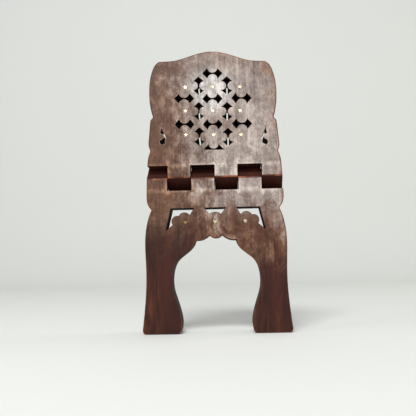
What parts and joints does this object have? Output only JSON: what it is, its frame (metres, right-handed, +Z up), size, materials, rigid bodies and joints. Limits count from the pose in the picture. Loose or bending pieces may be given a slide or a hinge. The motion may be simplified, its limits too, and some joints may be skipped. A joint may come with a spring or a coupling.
{
  "type": "quran stand",
  "caption": "Folding wooden quran stand (rehal) carved from a plank, with a pierced upper panel, brass star inlays and an interlocked wooden hinge.",
  "frame": {"origin": "middle of the bounding box at floor level, under the feet of the folded stand", "axes": "+Z up the standing plank, +X across its width, -Y out of the front face"},
  "size_m": [0.1586, 0.0268, 0.305],
  "materials": {
    "wood": "satin",
    "brass": "polished"
  },
  "bodies": {
    "rear_top_leaf": {"leaf_rear_top": "wood", "rear_upper_star_1": "brass", "rear_upper_star_2": "brass", "rear_upper_star_3": "brass", "rear_upper_star_4": "brass", "rear_upper_star_5": "brass", "rear_upper_star_6": "brass", "rear_upper_star_7": "brass", "rear_upper_star_8": "brass", "rear_upper_star_9": "brass", "front_apron_star_1": "brass", "front_apron_star_2": "brass", "front_apron_star_3": "brass"},
    "front_top_leaf": {"leaf_front_top": "wood", "front_upper_star_1": "brass", "front_upper_star_2": "brass", "front_upper_star_3": "brass", "front_upper_star_4": "brass", "front_upper_star_5": "brass", "front_upper_star_6": "brass", "front_upper_star_7": "brass", "front_upper_star_8": "brass", "front_upper_star_9": "brass", "rear_apron_star_1": "brass", "rear_apron_star_2": "brass", "rear_apron_star_3": "brass"}
  },
  "joints": [
    {"name": "finger_hinge", "type": "hinge", "parent": "rear_top_leaf", "child": "front_top_leaf", "pos_m": [0, 0, 0.166], "axis": [1, 0, 0], "range_deg": [0, 90]}
  ]
}
